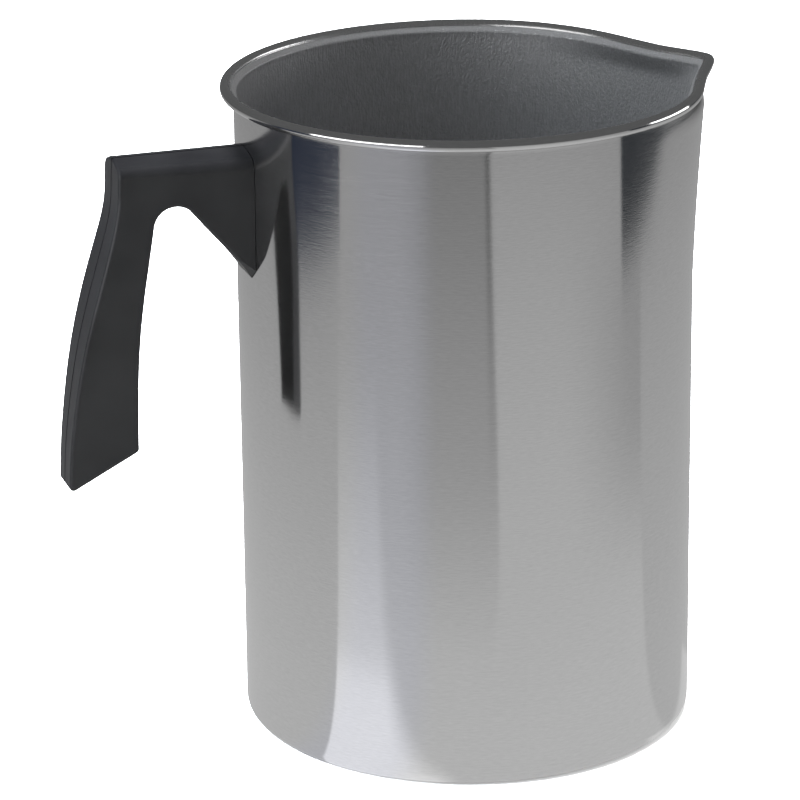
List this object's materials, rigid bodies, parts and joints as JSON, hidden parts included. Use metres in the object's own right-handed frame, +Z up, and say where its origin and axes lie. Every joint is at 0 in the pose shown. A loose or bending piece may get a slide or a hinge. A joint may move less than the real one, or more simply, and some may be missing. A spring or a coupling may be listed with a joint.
{
  "type": "candle melting pot",
  "caption": "Straight-walled aluminium melting and pouring pot with a rolled rim, a pressed pour spout and a black hook-shaped handle screwed to a hidden bracket.",
  "frame": {"origin": "centre of the underside of the base, on the surface that the pot stands on", "axes": "+Z up along the pot's axis, +X towards the pour spout, the handle along -X; the pot is the same on both sides of the plane Y = 0"},
  "size_m": [0.2101, 0.148, 0.2035],
  "materials": {
    "aluminium_body": "polished outside with fine marks running round the wall, satin grey inside",
    "black_phenolic": "satin moulded phenolic",
    "aluminium_bracket": "plain mill finish",
    "zinc_steel": "bright zinc plate"
  },
  "bodies": {
    "root": {"pot_body": "aluminium_body", "handle": "black_phenolic", "handle_bracket": "aluminium_bracket", "handle_screw": "zinc_steel", "flat_washer": "zinc_steel", "lock_washer": "zinc_steel"}
  },
  "joints": []
}
